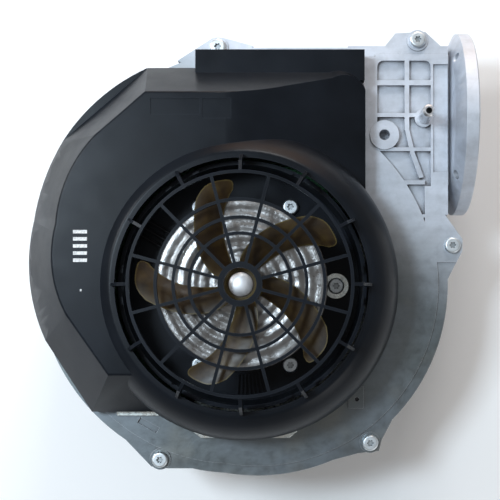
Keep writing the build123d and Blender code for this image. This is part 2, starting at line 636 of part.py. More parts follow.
def cover_plan(corners, round_corner, upper_left=None):
    """Horseshoe outline through its corners; its left side and top-right corner are arcs."""
    top_left, chord_end, left_1, side, left_2, low, bottom_left = corners
    outline = upper_left or Line(top_left, chord_end)
    outline += ThreePointArc(chord_end, left_1, side)
    outline += ThreePointArc(side, left_2, low)
    bottom_y = bottom_left[1]
    right_y, corner_mid, top_x = round_corner
    outline += Polyline(low, bottom_left, (-25, bottom_y), (0, -20), (COVER_RIGHT_X, 20),
                        (COVER_RIGHT_X, right_y))
    outline += ThreePointArc((COVER_RIGHT_X, right_y), corner_mid, (top_x, top_left[1]))
    outline += Line((top_x, top_left[1]), top_left)
    return make_face(outline)


def roof_space(drop):
    """Everything under the cover's roof, which falls away toward the outlet side."""
    top = FACE_TOP - drop
    bend = ThreePointArc((-8, top), (6, top - 1.8), (20, top - 7.0))
    rest = Polyline((20, top - 7.0), (80, top - 33), (80, 0), (-140, 0), (-140, top), (-8, top))
    side = Plane.XZ * make_face(bend + rest)
    return Pos(0, 130, 0) * extrude(side, amount=260)


def dome_space(shrink):
    """Round housing of the cooling fan, solid to the axis."""
    radius = DOME_R - shrink
    lip = LIP_R - shrink
    top = LIP_TOP - shrink
    side = ThreePointArc((radius, 86), (radius - 4.2, 102.5 - shrink * 0.6), (lip, top))
    rest = Polyline((lip, top), (0, top), (0, 50), (radius, 50), (radius, 86))
    return revolve(Plane.XZ * make_face(side + rest), axis=Axis.Z)


def cover_space(shrink):
    """Solid outer shape of the cover, or the space inside its walls."""
    foot = cover_foot()
    low = cover_plan(COVER_FOOT, COVER_FOOT_CORNER)
    high = cover_plan(COVER_FACE, COVER_FACE_CORNER)
    if shrink:
        foot = offset(foot, amount=-shrink, kind=Kind.INTERSECTION)
        low = offset(low, amount=-shrink, kind=Kind.INTERSECTION)
        high = offset(high, amount=-shrink, kind=Kind.INTERSECTION)
    bottom = Pos(0, 0, COVER_SKIRT_TOP - shrink) * low
    walls = loft([bottom, Pos(0, 0, FACE_TOP - shrink) * high], ruled=True)
    if not shrink:
        walls = fillet(walls.edges().group_by(Axis.Z)[-1], FACE_EDGE_R)
    body = rise(foot, 50, COVER_SKIRT_TOP - shrink) + (walls & roof_space(shrink))
    return body + dome_space(shrink)


def ledge_space(shrink, front):
    x0, x1, y0, y1 = LEDGE
    return block(x0 + shrink, x1 - shrink, y0 - shrink, y1 + front, 50, LEDGE_TOP - shrink)


def guard():
    """Round cage over the cooling fan."""
    bottom = GUARD_TOP - GUARD_DEPTH
    half = GUARD_BAR / 2
    body = ring(GUARD_HUB_R, GUARD_HUB_IN_R, bottom - 1, GUARD_TOP)
    for radius in GUARD_RINGS:
        body += ring(radius + half, radius - half, bottom, GUARD_TOP)
    spoke = block(GUARD_HUB_R - 1, GUARD_RINGS[0], -half, half, bottom, GUARD_TOP)
    for shape in around(spoke, SPOKES, 15):
        body += shape
    side = Polyline((GUARD_RINGS[0], GUARD_TOP), (GUARD_RINGS[0], bottom), (LIP_IN_R - 1, LIP_TOP - 6),
                    (LIP_R - 0.5, LIP_TOP - 6), (LIP_R - 0.5, LIP_TOP + 2),
                    (GUARD_RINGS[0] + 5, GUARD_TOP - 2), close=True)
    rib = Pos(0, half, 0) * extrude(Plane.XZ * make_face(side), amount=GUARD_BAR)
    for shape in around(rib, SPOKES):
        body += shape
    return body


def motor_cover():
    body = cover_space(0) + ledge_space(0, 0)
    body -= cover_space(COVER_WALL)
    body -= ledge_space(COVER_WALL, 5)
    body -= disc(LIP_IN_R, 0, LIP_TOP * 2)
    body -= block(-150, 150, -150, 150, 0, PLATE_TOP)
    body -= rise(base_plate_plan() + Circle(HUB_BOSS_R + 1), PLATE_TOP - 1, BASE_PLATE_TOP + 0.05)
    for x0, x1, y0, y1 in LABEL_RECESSES:
        body -= block(x0, x1, y0, y1, FACE_TOP - LABEL_DEPTH, FACE_TOP + 1)
    body += guard()
    keep("motor_cover", body)


def tray_plan():
    plan = offset(cover_foot(), amount=-COVER_WALL - 0.4, kind=Kind.INTERSECTION)
    plan += Circle(LIP_IN_R - 0.4)
    plan -= Circle(HUB_BOSS_R + 0.6)
    plan -= Pos(18, 104) * Rectangle(80, 40)
    return plan


def electronics_tray():
    body = rise(tray_plan(), BASE_PLATE_TOP, TRAY_TOP)
    wall = ring(LIP_IN_R - 0.4, LIP_IN_R - 2.2, TRAY_TOP, AIR_WALL_TOP)
    wall -= Rot(0, 0, LEAD_ANGLE) * block(50, 65, -6, 6, TRAY_TOP, 80)
    body += wall
    for place in BOARD_POSTS:
        body += disc(POST_R, TRAY_TOP, BOARD_BOTTOM, place)
        body -= disc(POST_HOLE_R, TRAY_TOP, BOARD_BOTTOM, place)
    for place in motor_screw_places():
        body -= disc(SCREW_R, BASE_PLATE_TOP, TRAY_TOP, place)
    catch = block(LIP_IN_R - 1.6 - CATCH_THICK, LIP_IN_R - 1.6, -CATCH_WIDTH / 2, CATCH_WIDTH / 2,
                  AIR_WALL_TOP - 1, CATCH_TOP)
    for side in (-CATCH_ANGLE, CATCH_ANGLE):
        for shape in around(catch, MOTOR_SCREWS, side):
            body += shape
    for index in range(TRAY_RIBS):
        rib = block(43.5, 54.0, -0.4, 0.4, TRAY_TOP - 0.5, TRAY_TOP + 1.6)
        body += Rot(0, 0, TRAY_RIB_ANGLE + index * 2.2) * rib
    keep("electronics_tray", body)


# ---- electronics ---------------------------------------------------------------------------
def circuit_board():
    plan = offset(cover_plan(COVER_FOOT, COVER_FOOT_CORNER), amount=-BOARD_INSET, kind=Kind.INTERSECTION)
    plan -= Circle(BOARD_INNER_R)
    board = rise(plan, BOARD_BOTTOM, BOARD_TOP)
    board = board.solids().sort_by(SortBy.VOLUME)[-1]
    for place in BOARD_POSTS:
        board -= disc(POST_HOLE_R, BOARD_BOTTOM, BOARD_TOP, place)
    keep("circuit_board", board)
    keep("board_screws", *[disc(2 * POST_HOLE_R, BOARD_TOP, BOARD_TOP + 1.6, place)
                           + disc(POST_HOLE_R, BOARD_BOTTOM - 3, BOARD_TOP, place)
                           for place in BOARD_POSTS])
    cans = []
    for place in CAPACITORS:
        can = disc(CAPACITOR_R, BOARD_TOP, CAPACITOR_TOP, place)
        cans.append(fillet(can.edges().filter_by(GeomType.CIRCLE), 0.8))
    keep("bulk_capacitors", *cans)
    keep("choke", Pos(*CHOKE_PLACE, BOARD_TOP + CHOKE_WIRE_R + 0.1) * Torus(CHOKE_R, CHOKE_WIRE_R))
    corner = (Align.MIN, Align.MIN, Align.MIN)
    keep("power_transistors", *[Pos(x, y, BOARD_TOP) * Box(*TRANSISTOR_SIZE, align=corner)
                                for x, y in TRANSISTORS])
    keep("control_chip", Pos(*CHIP_PLACE, BOARD_TOP) * Box(CHIP_SIDE, CHIP_SIDE, CHIP_THICK, align=corner))
    keep("hall_sensor", Pos(*HALL_PLACE, TRAY_TOP) * Box(*HALL_SIZE, align=corner))


def socket(name, x_range, contacts, contact_width):
    """Board header in a plastic shroud that opens along +Y, with its contacts."""
    x0, x1 = x_range
    y0, y1 = SOCKET_Y
    z0, z1 = SOCKET_Z
    shroud = block(x0, x1, y0, y1, z0, z1)
    back = y0 + SOCKET_BACK
    shroud -= block(x0 + SOCKET_WALL, x1 - SOCKET_WALL, back, y1, z0 + SOCKET_WALL, z1 - SOCKET_WALL)
    keep(name + "_socket", shroud)
    pitch = (x1 - x0) / contacts
    blade = Box(contact_width, CONTACT_LENGTH, CONTACT_THICK)
    blade = Pos(0, back + CONTACT_LENGTH / 2, (z0 + z1) / 2) * blade
    keep(name + "_pins", *[Pos(x0 + pitch * (i + 0.5), 0, 0) * blade for i in range(contacts)])


def main():
    lower_casing()
    upper_casing()
    casing_gasket()
    seals()
    screws()
    pressure_tap()
    bearing_tube()
    bearing("lower_bearing", LOWER_BEARING_Z)
    bearing("upper_bearing", UPPER_BEARING_Z)
    shaft()
    stator()
    rotor_cup()
    cooling_fan()
    impeller()
    motor_base_plate()
    motor_cover()
    electronics_tray()
    circuit_board()
    socket("mains", MAINS_X, MAINS_CONTACTS, MAINS_CONTACT_WIDTH)
    socket("signal", SIGNAL_X, SIGNAL_CONTACTS, SIGNAL_CONTACT_WIDTH)
    os.makedirs("parts", exist_ok=True)
    for name, shape in nodes.items():
        export_step(shape, os.path.join("parts", name + ".step"))


main()
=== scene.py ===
import json
import math

import bmesh
import bpy
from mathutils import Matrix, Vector


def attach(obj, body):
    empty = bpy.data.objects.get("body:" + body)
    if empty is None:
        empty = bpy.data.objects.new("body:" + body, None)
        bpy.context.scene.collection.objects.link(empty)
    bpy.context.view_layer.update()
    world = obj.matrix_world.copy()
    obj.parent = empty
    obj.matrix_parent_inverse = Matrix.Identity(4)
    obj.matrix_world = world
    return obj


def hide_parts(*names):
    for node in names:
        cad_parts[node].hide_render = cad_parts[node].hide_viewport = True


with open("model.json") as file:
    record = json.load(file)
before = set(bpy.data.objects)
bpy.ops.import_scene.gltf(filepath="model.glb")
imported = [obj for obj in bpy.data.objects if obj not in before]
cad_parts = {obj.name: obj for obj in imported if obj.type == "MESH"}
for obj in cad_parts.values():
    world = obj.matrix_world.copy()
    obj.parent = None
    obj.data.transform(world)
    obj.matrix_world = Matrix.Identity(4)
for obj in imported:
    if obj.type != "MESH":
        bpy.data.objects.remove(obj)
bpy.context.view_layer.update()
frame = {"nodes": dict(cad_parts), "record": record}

# The looks of a boiler blower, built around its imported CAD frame. Lengths are in metres, in the CAD's own
# frame: +Z runs up the motor axis, and the intake face is at z = 0. A length times MM is in millimetres.

MM = 0.001
SQUARE = ((-1, -1), (1, -1), (1, 1), (-1, 1))
nodes = frame["nodes"]
scene = bpy.context.scene
SLOT_OF = {entry["node"]: entry["material_slot"] for entry in frame["record"]["subparts"]}
BODIES = frame["record"]["behaviour"]["bodies"]
BODY_OF = {node: body for body, members in BODIES.items() for node in members}


# ---- shader building -----------------------------------------------------------------------
WAVE_SCALE = 0.31  # a wave texture of this scale has one line per metre


class Shader:
    """A node material whose colour, roughness and bump come from layered noise."""

    def __init__(self, name, metallic=0.0, **sockets):
        self.material = bpy.data.materials.new(name)
        self.material.use_nodes = True
        self.tree = self.material.node_tree
        self.bsdf = self.tree.nodes["Principled BSDF"]
        self.bsdf.inputs["Metallic"].default_value = metallic
        for socket, value in sockets.items():
            self.bsdf.inputs[socket.replace("_", " ")].default_value = value
        self.coords = self.node("ShaderNodeTexCoord").outputs["Object"]
        self.last_bump = None

    def node(self, kind, **settings):
        """New shader node of a kind, with its settings."""
        made = self.tree.nodes.new(kind)
        for key, value in settings.items():
            setattr(made, key, value)
        return made

    def link(self, source, target):
        self.tree.links.new(source, target)

    def noise(self, size, detail=3.0, roughness=0.55, stretch=None):
        """Noise whose features are about size metres across, 0 to 1."""
        made = self.node("ShaderNodeTexNoise")
        made.inputs["Scale"].default_value = 1.0 / size
        made.inputs["Detail"].default_value = detail
        made.inputs["Roughness"].default_value = roughness
        self.link(self.stretched(stretch), made.inputs["Vector"])
        return made.outputs["Fac"]

    def stretched(self, scale):
        """Object coordinates, or the same ones scaled along each axis."""
        if scale is None:
            return self.coords
        mapping = self.node("ShaderNodeMapping")
        mapping.inputs["Scale"].default_value = scale
        self.link(self.coords, mapping.inputs["Vector"])
        return mapping.outputs["Vector"]

    def cells(self, size):
        """Grains about size metres across: the distance from each one's middle."""
        made = self.node("ShaderNodeTexVoronoi")
        made.inputs["Scale"].default_value = 1.0 / size
        self.link(self.coords, made.inputs["Vector"])
        return made.outputs["Distance"]

    def wave(self, size, distortion=0.0, **settings):
        """Even lines that are size metres apart."""
        made = self.node("ShaderNodeTexWave", **settings)
        made.inputs["Scale"].default_value = WAVE_SCALE / size
        made.inputs["Distortion"].default_value = distortion
        self.link(self.coords, made.inputs["Vector"])
        return made.outputs["Fac"]

    def rings(self, size, distortion):
        """Fine turned lines about the motor axis."""
        return self.wave(size, distortion, wave_type="RINGS", rings_direction="Z")

    def slope(self, direction, start, end):
        """Smooth step from 0 to 1 along a direction across the part, in metres."""
        dot = self.node("ShaderNodeVectorMath", operation="DOT_PRODUCT")
        dot.inputs[1].default_value = direction
        self.link(self.coords, dot.inputs[0])
        step = self.node("ShaderNodeMapRange", interpolation_type="SMOOTHSTEP")
        step.inputs["From Min"].default_value = start
        step.inputs["From Max"].default_value = end
        self.link(dot.outputs["Value"], step.inputs["Value"])
        return step.outputs["Result"]

    def ramp(self, source, stops):
        """Colour ramp; each stop is a position and a grey level or a colour."""
        made = self.node("ShaderNodeValToRGB")
        elements = made.color_ramp.elements
        while len(elements) < len(stops):
            elements.new(0.5)
        for element, (position, value) in zip(elements, stops):
            element.position = position
            colour = value if isinstance(value, tuple) else (value, value, value)
            element.color = (*colour, 1.0)
        self.link(source, made.inputs["Fac"])
        return made.outputs["Color"]

    def mix(self, factor, a, b, mode="MIX"):
        """Blend a into b; factor is a number or a socket, a and b are colours or sockets."""
        made = self.node("ShaderNodeMix", data_type="RGBA", blend_type=mode)
        for socket, value in ((0, factor), (6, a), (7, b)):
            if isinstance(value, bpy.types.NodeSocket):
                self.link(value, made.inputs[socket])
            elif isinstance(value, tuple):
                made.inputs[socket].default_value = (*value, 1.0)
            else:
                made.inputs[socket].default_value = value
        return made.outputs[2]

    def worn_edges(self, radius=0.5 * MM, low=0.03, high=0.25):
        """Where the surface turns a sharp corner, 0 to 1."""
        bevel = self.node("ShaderNodeBevel", samples=4)
        bevel.inputs["Radius"].default_value = radius
        dot = self.node("ShaderNodeVectorMath", operation="DOT_PRODUCT")
        self.link(bevel.outputs["Normal"], dot.inputs[0])
        self.link(self.node("ShaderNodeNewGeometry").outputs["Normal"], dot.inputs[1])
        return self.ramp(dot.outputs["Value"], [(1 - high, 1.0), (1 - low, 0.0)])

    def painted_shade_hollows(self, reach=4 * MM):
        """Where the surface is shut in by its own walls, 0 to 1: the mask for painted shade in recesses."""
        shade = self.node("ShaderNodeAmbientOcclusion", samples=4, only_local=True)
        shade.inputs["Distance"].default_value = reach
        return self.ramp(shade.outputs["AO"], [(0.25, 1.0), (0.7, 0.0)])

    def colour(self, source):
        self.link(source, self.bsdf.inputs["Base Color"])

    def rough(self, source, low, high):
        """Roughness between low and high, following a 0 to 1 source."""
        self.link(self.ramp(source, [(0.3, low), (0.7, high)]), self.bsdf.inputs["Roughness"])

    def bump(self, source, depth, strength):
        """Raise the surface by up to depth metres; calls stack."""
        made = self.node("ShaderNodeBump")
        made.inputs["Distance"].default_value = depth
        made.inputs["Strength"].default_value = strength
        self.link(source, made.inputs["Height"])
        if self.last_bump is not None:
            self.link(self.last_bump, made.inputs["Normal"])
        self.last_bump = made.outputs["Normal"]
        self.link(self.last_bump, self.bsdf.inputs["Normal"])


def cast_aluminium():
    """Die-cast casing: dull and stained on the volute; towards the outlet neck it is painted paler, a
    painted pool of light, and it is rougher there.
    """
    made = Shader("cast_aluminium", metallic=0.9)
    # mask of the outlet neck: it blends in a much paler colour, painted light where the neck is lit
    # brighter than the volute; it also sets the neck's roughness
    painted_light_neck = made.slope((0.8, 1.0, 0.0), 55 * MM, 120 * MM)
    broad = made.noise(38 * MM, detail=5)
    dull = made.ramp(broad, [(0.3, (0.145, 0.162, 0.162)), (0.7, (0.204, 0.232, 0.255))])
    # painted light: this paler colour stands for the brighter light on the neck
    painted_lit_neck_colour = made.ramp(broad, [(0.3, (0.56, 0.60, 0.66)), (0.7, (0.69, 0.72, 0.78))])
    body = made.mix(painted_light_neck, dull, painted_lit_neck_colour)
    tan = made.ramp(made.noise(30 * MM, detail=3), [(0.5, 0.0), (0.7, 0.45)])
    body = made.mix(made.mix(painted_light_neck, tan, (0.0, 0.0, 0.0)), body, (0.27, 0.262, 0.225))
    stain = made.ramp(made.noise(5 * MM, detail=6, roughness=0.7), [(0.34, 0.78), (0.56, 1.0)])
    body = made.mix(0.55, body, stain, "MULTIPLY")
    streak = made.ramp(made.noise(12 * MM, detail=5, stretch=(0.35, 1.6, 1)), [(0.36, 0.80), (0.6, 1.0)])
    body = made.mix(0.5, body, streak, "MULTIPLY")
    # painted shade: darker grey where the surface is shut in by its own walls
    body = made.mix(made.painted_shade_hollows(), body, (0.14, 0.14, 0.15))
    edges = made.mix(0.4, (0.0, 0.0, 0.0), made.worn_edges())
    body = made.mix(edges, body, (0.80, 0.82, 0.85))
    made.colour(body)
    grain = made.noise(5 * MM, detail=4)
    volute_rough = made.ramp(grain, [(0.3, 0.36), (0.7, 0.5)])
    neck_rough = made.ramp(grain, [(0.3, 0.56), (0.7, 0.68)])
    made.link(made.mix(painted_light_neck, volute_rough, neck_rough), made.bsdf.inputs["Roughness"])
    made.bump(made.noise(0.9 * MM, detail=4), 0.08 * MM, 0.45)
    made.bump(made.noise(6 * MM, detail=3), 0.12 * MM, 0.3)
    return made.material


def moulded_plastic(name, dark, light, low=0.29, high=0.38):
    """Spark-eroded moulded plastic with faint dust and paler edges."""
    made = Shader(name, Specular_IOR_Level=0.14)
    body = made.ramp(made.noise(45 * MM, detail=4), [(0.35, dark), (0.65, light)])
    dust = made.ramp(made.noise(2.2 * MM, detail=6, roughness=0.7), [(0.64, 0.0), (0.8, 0.25)])
    body = made.mix(dust, body, tuple(min(1.0, c * 2.0 + 0.015) for c in light))
    edge = tuple(min(1.0, c * 1.8 + 0.006) for c in light)
    body = made.mix(made.worn_edges(), body, edge)
    made.colour(body)
    made.rough(made.noise(14 * MM, detail=5), low, high)
    made.bump(made.noise(0.35 * MM, detail=2), 0.012 * MM, 0.6)
    made.bump(made.noise(30 * MM, detail=2), 0.3 * MM, 0.12)
    return made.material


def amber_plastic():
    """Dark amber plastic that lets a little light through."""
    made = Shader("amber_plastic", Transmission_Weight=0.35, IOR=1.53, Specular_IOR_Level=0.22)
    flow = made.noise(10 * MM, detail=4, stretch=(1, 1, 3))
    body = made.ramp(flow, [(0.3, (0.016, 0.008, 0.002)), (0.55, (0.050, 0.027, 0.005)),
                            (0.75, (0.085, 0.055, 0.012))])
    body = made.mix(made.worn_edges(1.2 * MM, 0.01, 0.2), body, (0.20, 0.15, 0.04))
    # painted shade: darker amber where the surface is shut in by its own walls
    body = made.mix(made.painted_shade_hollows(6 * MM), body, (0.010, 0.006, 0.003))
    made.colour(body)
    made.rough(made.noise(4 * MM, detail=3), 0.34, 0.50)
    made.bump(made.noise(1.4 * MM, detail=2), 0.05 * MM, 0.4)
    return made.material


def steel(name, colour, low, high, turned=True, grain=0.5, drawn=0.25, dents=0.0):
    """Bright steel with turned or drawn marks about the motor axis."""
    made = Shader(name, metallic=1.0)
    dark = tuple(c * 0.82 for c in colour)
    body = made.ramp(made.noise(12 * MM, detail=5), [(0.35, dark), (0.65, colour)])
    # painted shade: the steel darkens to 0.4 of its colour where it is shut in by its own walls
    body = made.mix(made.painted_shade_hollows(), body, tuple(c * 0.4 for c in colour))
    made.colour(body)
    made.rough(made.noise(3 * MM, detail=5, roughness=0.7), low, high)
    if turned:
        made.bump(made.rings(grain * MM, 0.6), 0.012 * MM, drawn)
    if dents:
        made.bump(made.noise(5 * MM, detail=3), dents * MM, 0.6)
    made.bump(made.noise(0.7 * MM, detail=4), 0.02 * MM, 0.5)
    return made.material


def zinc():
    """Zinc-plated steel sheet with its spangle."""
    made = Shader("zinc_steel", metallic=1.0)
    spangle = made.ramp(made.cells(2.2 * MM), [(0.1, (0.52, 0.55, 0.57)), (0.7, (0.74, 0.76, 0.76))])
    tint = made.ramp(made.noise(5 * MM, detail=4), [(0.4, (0.95, 1.0, 0.98)), (0.65, (1.0, 0.97, 0.9))])
    made.colour(made.mix(1.0, spangle, tint, "MULTIPLY"))
    made.rough(made.noise(1.5 * MM, detail=4), 0.22, 0.42)
    made.bump(made.noise(0.5 * MM, detail=3), 0.02 * MM, 0.5)
    return made.material


def turned_aluminium():
    """Pale aluminium with fine turned lines."""
    made = Shader("turned_aluminium", metallic=1.0)
    body = made.ramp(made.noise(16 * MM, detail=4), [(0.3, (0.66, 0.67, 0.69)), (0.7, (0.8, 0.81, 0.83))])
    # painted shade: darker grey where the surface is shut in by its own walls
    made.colour(made.mix(made.painted_shade_hollows(), body, (0.3, 0.3, 0.31)))
    made.rough(made.noise(2 * MM, detail=4), 0.28, 0.42)
    made.bump(made.rings(0.35 * MM, 0.2), 0.01 * MM, 0.35)
    made.bump(made.noise(0.6 * MM, detail=3), 0.02 * MM, 0.4)
    return made.material


def laminations():
    """Stacked electrical steel sheets, seen on edge, with a little rust."""
    made = Shader("electrical_steel", metallic=0.9)
    sheets = made.wave(0.5 * MM, wave_type="BANDS", bands_direction="Z")
    body = made.ramp(sheets, [(0.2, (0.12, 0.12, 0.13)), (0.6, (0.34, 0.34, 0.36))])
    rust = made.ramp(made.noise(6 * MM, detail=6), [(0.58, 0.0), (0.72, 0.6)])
    made.colour(made.mix(rust, body, (0.22, 0.10, 0.05)))
    made.rough(made.noise(2 * MM), 0.35, 0.55)
    made.bump(sheets, 0.06 * MM, 0.8)
    return made.material


def copper_wire():
    """Enamelled copper."""
    made = Shader("copper", metallic=1.0, Coat_Weight=0.6, Coat_Roughness=0.12)
    body = made.ramp(made.noise(4 * MM, detail=4), [(0.3, (0.48, 0.16, 0.05)), (0.7, (0.72, 0.30, 0.12))])
    made.colour(body)
    made.rough(made.noise(1 * MM), 0.22, 0.36)
    made.bump(made.noise(0.4 * MM), 0.02 * MM, 0.4)
    return made.material


def rubber(name, level):
    """Dull, dusty rubber or fibre of one grey level."""
    made = Shader(name, Specular_IOR_Level=0.35)
    body = made.ramp(made.noise(8 * MM, detail=5), [(0.35, level * 0.7), (0.7, level * 1.5)])
    dust = made.ramp(made.noise(1.2 * MM, detail=6, roughness=0.7), [(0.6, 0.0), (0.8, 0.3)])
    made.colour(made.mix(dust, body, (0.2, 0.2, 0.19)))
    made.rough(made.noise(3 * MM), 0.6, 0.8)
    made.bump(made.noise(0.6 * MM, detail=4), 0.04 * MM, 0.6)
    return made.material


def ferrite():
    """Dark sintered magnet with chipped edges."""
    made = Shader("ferrite", metallic=0.2)
    chips = made.ramp(made.cells(0.7 * MM), [(0.1, 0.03), (0.6, 0.085)])
    made.colour(made.mix(made.worn_edges(), chips, (0.16, 0.16, 0.165)))
    made.rough(made.noise(1 * MM), 0.5, 0.7)
    made.bump(made.noise(0.5 * MM, detail=5), 0.05 * MM, 0.6)
    return made.material


def circuit_green():
    """Green lacquered board with paler lines for its tracks."""
    made = Shader("board", Coat_Weight=0.5, Coat_Roughness=0.15)
    tracks = made.node("ShaderNodeTexBrick")
    tracks.inputs["Scale"].default_value = 1.0 / (5 * MM)
    tracks.inputs["Mortar Size"].default_value = 0.06
    tracks.inputs["Color1"].default_value = (0.012, 0.10, 0.035, 1)
    tracks.inputs["Color2"].default_value = (0.015, 0.12, 0.045, 1)
    tracks.inputs["Mortar"].default_value = (0.05, 0.26, 0.10, 1)
    made.link(made.coords, tracks.inputs["Vector"])
    haze = made.ramp(made.noise(6 * MM), [(0.3, 0.0), (0.7, 0.1)])
    made.colour(made.mix(0.25, tracks.outputs["Color"], haze))
    made.rough(made.noise(2 * MM), 0.25, 0.4)
    made.bump(tracks.outputs["Fac"], 0.03 * MM, 0.5)
    return made.material


def contact_metal():
    """Tarnished plated contacts."""
    made = Shader("contact_metal", metallic=1.0)
    tarnish = made.noise(1.5 * MM, detail=4)
    made.colour(made.ramp(tarnish, [(0.3, (0.62, 0.56, 0.36)), (0.7, (0.82, 0.78, 0.62))]))
    made.rough(made.noise(1 * MM), 0.2, 0.34)
    made.bump(made.noise(0.4 * MM), 0.01 * MM, 0.4)
    return made.material


def print_ink():
    """Worn white printing ink."""
    made = Shader("print_ink", Specular_IOR_Level=0.4)
    made.colour(made.ramp(made.noise(1.1 * MM, detail=5), [(0.3, 0.45), (0.62, 0.78)]))
    made.rough(made.noise(1 * MM), 0.5, 0.65)
    made.bump(made.noise(0.3 * MM), 0.01 * MM, 0.4)
    return made.material


MATERIALS = {
    "cast_aluminium": cast_aluminium(),
    "turned_aluminium": turned_aluminium(),
    "amber_plastic": amber_plastic(),
    "bright_steel": steel("bright_steel", (0.80, 0.80, 0.81), 0.12, 0.28),
    "drawn_steel": steel("drawn_steel", (0.38, 0.375, 0.37), 0.26, 0.50, grain=0.9, drawn=0.4, dents=0.9),
    "fastener_steel": steel("fastener_steel", (0.74, 0.79, 0.82), 0.36, 0.52, turned=False),
    "zinc_steel": zinc(),
    "electrical_steel": laminations(),
    "copper": copper_wire(),
    "ferrite": ferrite(),
    "rubber": rubber("rubber", 0.02),
    "fibre_gasket": rubber("fibre_gasket", 0.09),
    "board": circuit_green(),
    "contact_metal": contact_metal(),
}
# Each plastic has a dark and a light colour, and may have a range of roughness.
PLASTICS = {
    "black_plastic": ((0.004, 0.0055, 0.008), (0.008, 0.0105, 0.015)),
    "tray_plastic": ((0.005, 0.007, 0.010), (0.011, 0.014, 0.020)),
    "insulator_plastic": ((0.62, 0.60, 0.53), (0.74, 0.72, 0.66)),
    "component_black": ((0.012, 0.012, 0.013), (0.022, 0.022, 0.024)),
    "capacitor_sleeve": ((0.012, 0.014, 0.03), (0.02, 0.024, 0.05), 0.2, 0.3),
    "wire_sleeve": ((0.010, 0.010, 0.011), (0.020, 0.020, 0.022), 0.25, 0.4),
    "socket_plastic": ((0.66, 0.65, 0.6), (0.78, 0.77, 0.72)),
}
for slot, look in PLASTICS.items():
    MATERIALS[slot] = moulded_plastic(slot, *look)
PRINT_INK = print_ink()
CAP_METAL = steel("cap_metal", (0.94, 0.94, 0.95), 0.48, 0.58, grain=0.4)


# ---- showing the CAD nodes -----------------------------------------------------------------
WELD = 0.002 * MM   # points closer than this become one
FLAT_ANGLE = 0.8    # degrees between faces that count as one flat face
SHARP_ANGLE = 35    # degrees between faces that meet in an edge to round

# How far each node's sharp edges are rounded.
SOFT_EDGES = {
    "lower_casing": 0.7 * MM,
    "upper_casing": 0.45 * MM,
    "motor_cover": 0.45 * MM,
    "electronics_tray": 0.4 * MM,
    "motor_base_plate": 0.3 * MM,
    "casing_screws": 0.2 * MM,
    "motor_mount_screws": 0.2 * MM,
    "mains_socket": 0.3 * MM,
    "signal_socket": 0.3 * MM,
    "impeller_hub": 0.4 * MM,
    "impeller_nut": 0.4 * MM,
}


def paint(obj, slot):
    """Give every face of an object one material."""
    obj.data.materials.clear()
    obj.data.materials.append(MATERIALS[slot])
    obj.data.polygons.foreach_set("material_index", [0] * len(obj.data.polygons))


def smooth_by_angle(mesh, degrees):
    """Smooth shading that stays crisp at sharp corners."""
    mesh.polygons.foreach_set("use_smooth", [True] * len(mesh.polygons))
    bm = bmesh.new()
    bm.from_mesh(mesh)
    limit = math.radians(degrees)
    for edge in bm.edges:
        edge.smooth = len(edge.link_faces) == 2 and edge.calc_face_angle(0) < limit
    bm.to_mesh(mesh)
    bm.free()


def softened(node, width):
    """A copy of a CAD node with its sharp edges rounded, as moulded or cast parts have them."""
    mesh = nodes[node].data.copy()
    mesh.name = node + "_look"
    obj = bpy.data.objects.new(node + "_look", mesh)
    scene.collection.objects.link(obj)
    bm = bmesh.new()
    bm.from_mesh(mesh)
    bmesh.ops.remove_doubles(bm, verts=bm.verts, dist=WELD)
    bmesh.ops.dissolve_limit(bm, angle_limit=math.radians(FLAT_ANGLE), verts=bm.verts, edges=bm.edges)
    bm.to_mesh(mesh)
    bm.free()
    smooth_by_angle(mesh, SHARP_ANGLE)
    bevel = obj.modifiers.new("edges", "BEVEL")
    bevel.width = width
    bevel.segments = 2
    bevel.limit_method = "ANGLE"
    bevel.angle_limit = math.radians(SHARP_ANGLE)
    bevel.use_clamp_overlap = True
    flats = obj.modifiers.new("flats", "WEIGHTED_NORMAL")
    flats.keep_sharp = True
    apply_modifiers(obj)
    place(obj, node)


def apply_modifiers(obj):
    """Bake an object's modifiers into its mesh."""
    depsgraph = bpy.context.evaluated_depsgraph_get()
    baked = bpy.data.meshes.new_from_object(obj.evaluated_get(depsgraph))
    obj.modifiers.clear()
    obj.data = baked


def place(obj, node):
    """Let an object stand for a CAD node, on its body and with its material."""
    paint(obj, SLOT_OF[node])
    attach(obj, BODY_OF[node])
    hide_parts(node)


# ---- pieces shaped here: their outlines are in millimetres, as (radius, height) ------------
def polar(radius, degrees, height):
    """Point in metres from a radius and height in millimetres and an angle about the motor axis."""
    angle = math.radians(degrees)
    return Vector((radius * math.cos(angle), radius * math.sin(angle), height)) * MM


def quadratic(points, x):
    """Value at x of the parabola through three (x, value) points."""
    (a, fa), (b, fb), (c, fc) = points
    return (fa * (x - b) * (x - c) / ((a - b) * (a - c)) + fb * (x - a) * (x - c) / ((b - a) * (b - c))
            + fc * (x - a) * (x - b) / ((c - a) * (c - b)))


def new_piece(name, bm, angle=SHARP_ANGLE):
    """Object made from a bmesh, smooth where its faces meet at less than an angle in degrees."""
    mesh = bpy.data.meshes.new(name)
    bmesh.ops.recalc_face_normals(bm, faces=bm.faces)
    bm.to_mesh(mesh)
    bm.free()
    obj = bpy.data.objects.new(name, mesh)
    scene.collection.objects.link(obj)
    smooth_by_angle(mesh, angle)
    return obj


